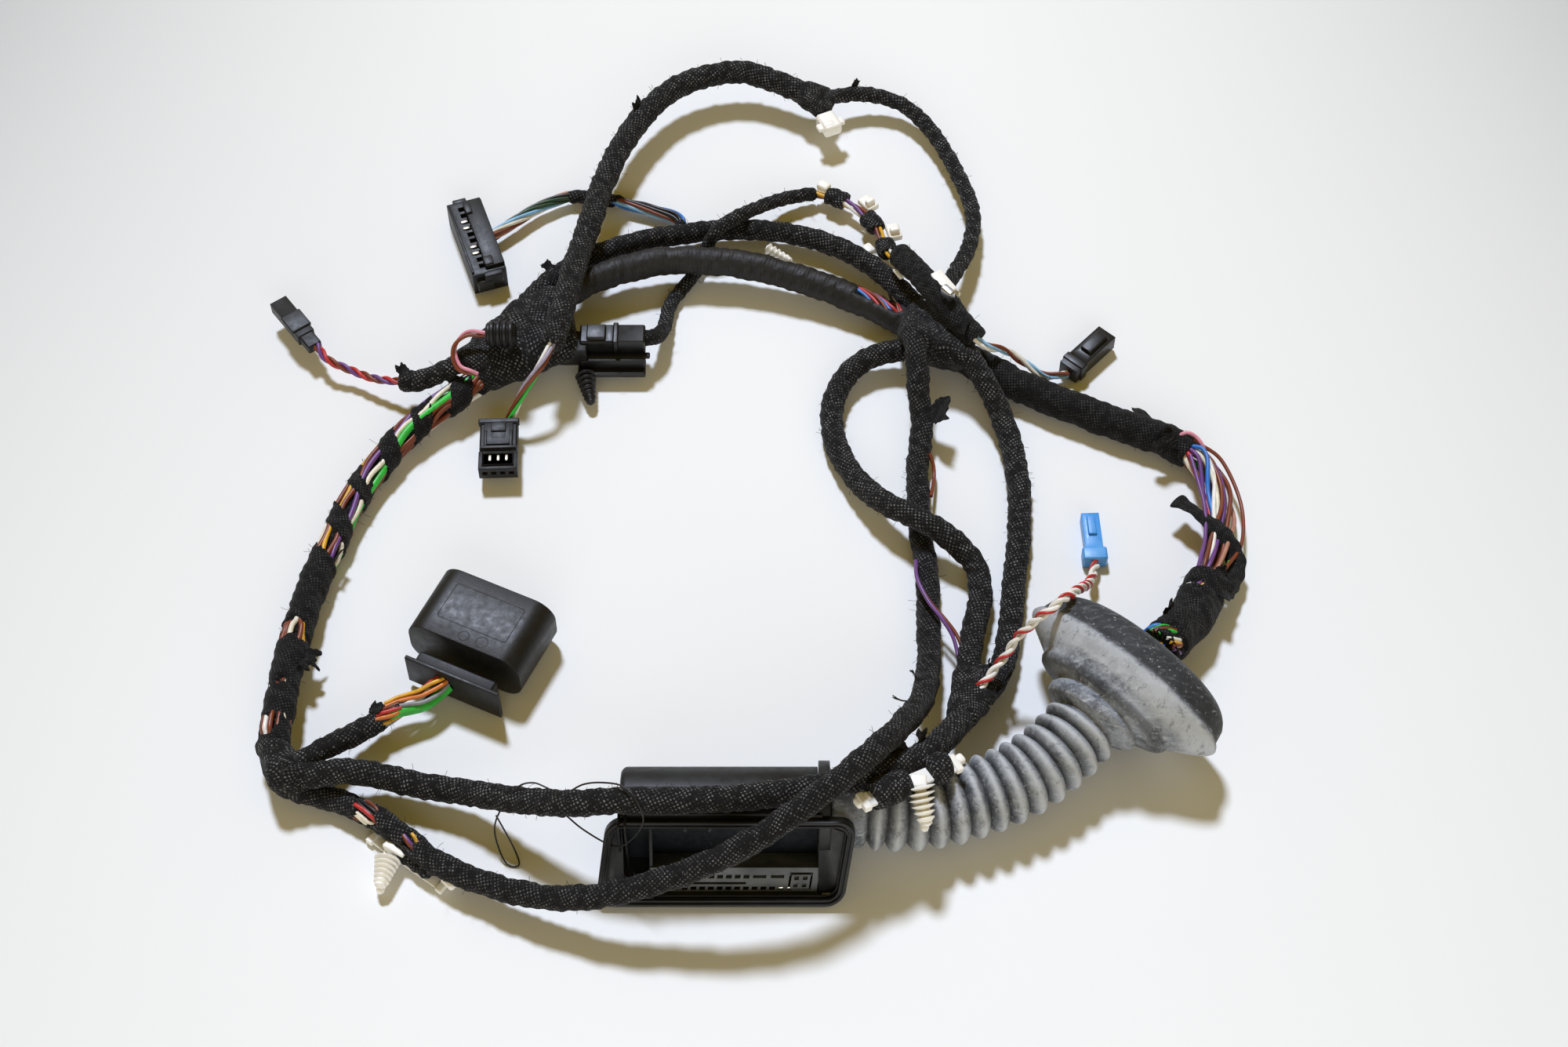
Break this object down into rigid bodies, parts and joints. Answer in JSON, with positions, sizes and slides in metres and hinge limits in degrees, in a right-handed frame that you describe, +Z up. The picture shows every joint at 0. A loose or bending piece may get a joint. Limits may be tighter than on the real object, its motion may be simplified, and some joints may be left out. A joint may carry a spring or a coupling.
{
  "type": "wiring harness",
  "caption": "Car door wiring harness laid flat: taped branching wire bundles, a large door connector with rubber bellows and oval grommet, small connectors and push-in clips.",
  "frame": {"origin": "middle of the harness's outline on the surface that it lies on", "axes": "+Z up from the surface, +X to the right and +Y away from the large connector's open mouth"},
  "size_m": [0.4066, 0.4292, 0.0572],
  "materials": {
    "cloth_tape": "woven fleece tape, matt",
    "smooth_tape": "smooth tape, half matt",
    "black_plastic": "moulded, satin",
    "slate_plastic": "moulded, satin",
    "grey_rubber": "moulded rubber with a dull bloom",
    "blue_plastic": "moulded, satin",
    "white_nylon": "moulded nylon, natural",
    "spring_steel": "bent strip, bright",
    "brown_wire": "insulation, half gloss",
    "green_wire": "insulation, half gloss",
    "violet_wire": "insulation, half gloss",
    "white_wire": "insulation, half gloss",
    "mixed_wires": "insulation of several colours, half gloss"
  },
  "bodies": {
    "root": {"corner_wrap": "cloth_tape", "left_trunk": "cloth_tape", "connector_branch": "cloth_tape", "upper_branch": "cloth_tape", "lower_branch": "cloth_tape", "centre_wrap": "cloth_tape", "rear_branch": "cloth_tape", "left_stub": "cloth_tape", "loop_branch": "cloth_tape", "right_wrap": "cloth_tape", "fork_wrap": "cloth_tape", "left_fork": "cloth_tape", "right_fork": "cloth_tape", "loop_wrap": "cloth_tape", "thin_loop": "cloth_tape", "small_branch": "cloth_tape", "comb_branch": "cloth_tape", "taped_sleeve": "cloth_tape", "inner_bundle": "cloth_tape", "tape_band_1": "cloth_tape", "tape_band_2": "cloth_tape", "tape_band_3": "cloth_tape", "row_sleeve": "cloth_tape", "arc_trunk": "smooth_tape", "right_trunk": "smooth_tape", "terminal_block": "black_plastic", "four_way_insert": "black_plastic", "oval_shell": "black_plastic", "oval_carrier": "black_plastic", "comb_connector": "black_plastic", "three_way_connector": "black_plastic", "four_pin_slide": "black_plastic", "four_pin_connector": "black_plastic", "right_connector": "black_plastic", "round_plug": "black_plastic", "coupling_connector": "black_plastic", "carrier_clip": "black_plastic", "housing_body": "slate_plastic", "housing_cover": "slate_plastic", "bellows_grommet": "grey_rubber", "blue_connector": "blue_plastic", "left_clip": "white_nylon", "right_clip": "white_nylon", "loop_clip": "white_nylon", "row_clip_1": "white_nylon", "row_clip_2": "white_nylon", "row_plate": "white_nylon", "metal_clip": "spring_steel", "three_wires": "brown_wire", "plug_wire": "brown_wire", "loose_brown_wire": "brown_wire", "four_wires": "green_wire", "loose_violet_wire": "violet_wire", "right_pair": "white_wire", "blue_pair": "white_wire", "comb_wires": "mixed_wires", "oval_wires": "mixed_wires", "loose_wires": "mixed_wires", "row_wires": "mixed_wires"}
  },
  "joints": []
}
